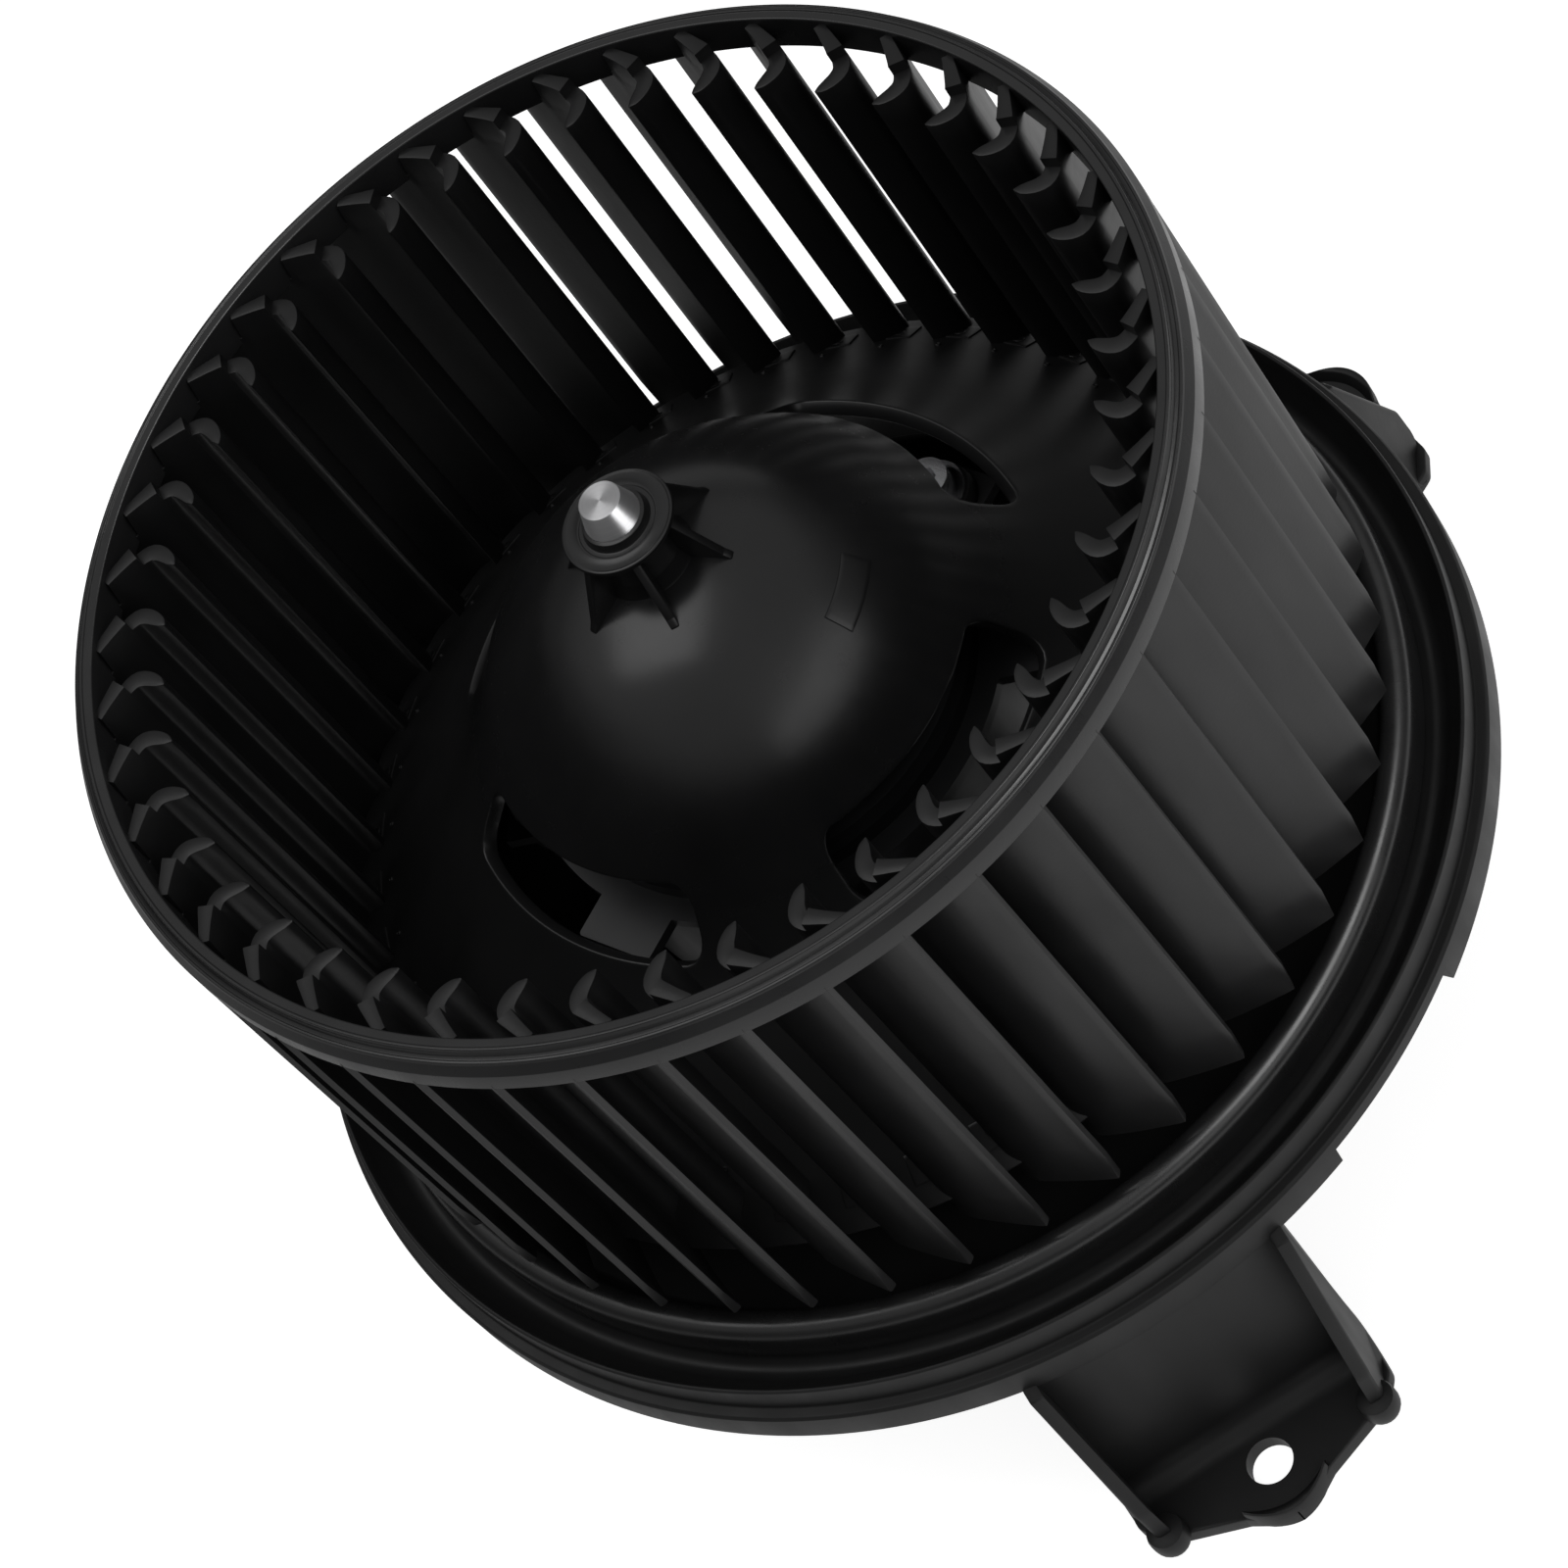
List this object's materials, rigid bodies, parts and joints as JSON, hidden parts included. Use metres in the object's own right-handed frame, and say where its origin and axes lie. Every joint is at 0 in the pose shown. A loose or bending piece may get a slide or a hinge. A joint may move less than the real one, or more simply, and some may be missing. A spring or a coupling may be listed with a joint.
{
  "type": "blower motor wheel",
  "caption": "Squirrel-cage blower wheel on a brushed motor, seated in a round mounting flange with hanging screw-down arms, for a vehicle heater.",
  "frame": {"origin": "on the wheel axis, in the plane of the undersides of the mounting pads, at the centre of the bolt circle", "axes": "+Z along the wheel axis towards the open inlet end; -Y along the front mounting arm; +Y towards the connector"},
  "size_m": [0.1776, 0.1842, 0.1244],
  "materials": {
    "wheel_plastic": "satin",
    "flange_plastic": "satin",
    "shaft_steel": "turned",
    "lamination_steel": "rough",
    "enamelled_copper": "gloss",
    "commutator_copper": "turned",
    "phenolic": "satin",
    "fibre": "matte",
    "ferrite": "matte",
    "can_steel": "satin",
    "bracket_steel": "satin",
    "spring_steel": "satin",
    "sintered_bronze": "matte",
    "oil_felt": "matte",
    "card_plastic": "satin",
    "brass": "satin",
    "carbon": "matte",
    "terminal_brass": "satin",
    "connector_plastic": "satin",
    "black_rubber": "matte",
    "screw_steel": "satin"
  },
  "bodies": {
    "stator": {"motor_can": "can_steel", "ferrite_magnets": "ferrite", "magnet_springs": "spring_steel", "upper_bearing": "sintered_bronze", "lower_bearing": "sintered_bronze", "upper_bearing_retainer": "spring_steel", "lower_bearing_retainer": "spring_steel", "oil_felts": "oil_felt", "end_plate": "can_steel", "brush_card": "card_plastic", "brush_boxes": "brass", "carbon_brushes": "carbon", "brush_springs": "spring_steel", "choke_cores": "ferrite", "choke_coils": "enamelled_copper", "terminal_blades": "terminal_brass", "connector_housing": "connector_plastic", "motor_bracket": "bracket_steel", "rubber_grommets": "black_rubber", "bracket_screws": "screw_steel", "rubber_sleeve": "black_rubber", "mounting_flange": "flange_plastic"},
    "rotor": {"blower_wheel": "wheel_plastic", "motor_shaft": "shaft_steel", "armature_core": "lamination_steel", "armature_windings": "enamelled_copper", "commutator_hub": "phenolic", "commutator_bars": "commutator_copper", "thrust_washers": "fibre", "shaft_spacers": "phenolic"}
  },
  "joints": [
    {"name": "wheel_spin", "type": "hinge", "parent": "stator", "child": "rotor", "pos_m": [0, 0, 0.06], "axis": [0, 0, 1], "continuous": true}
  ]
}
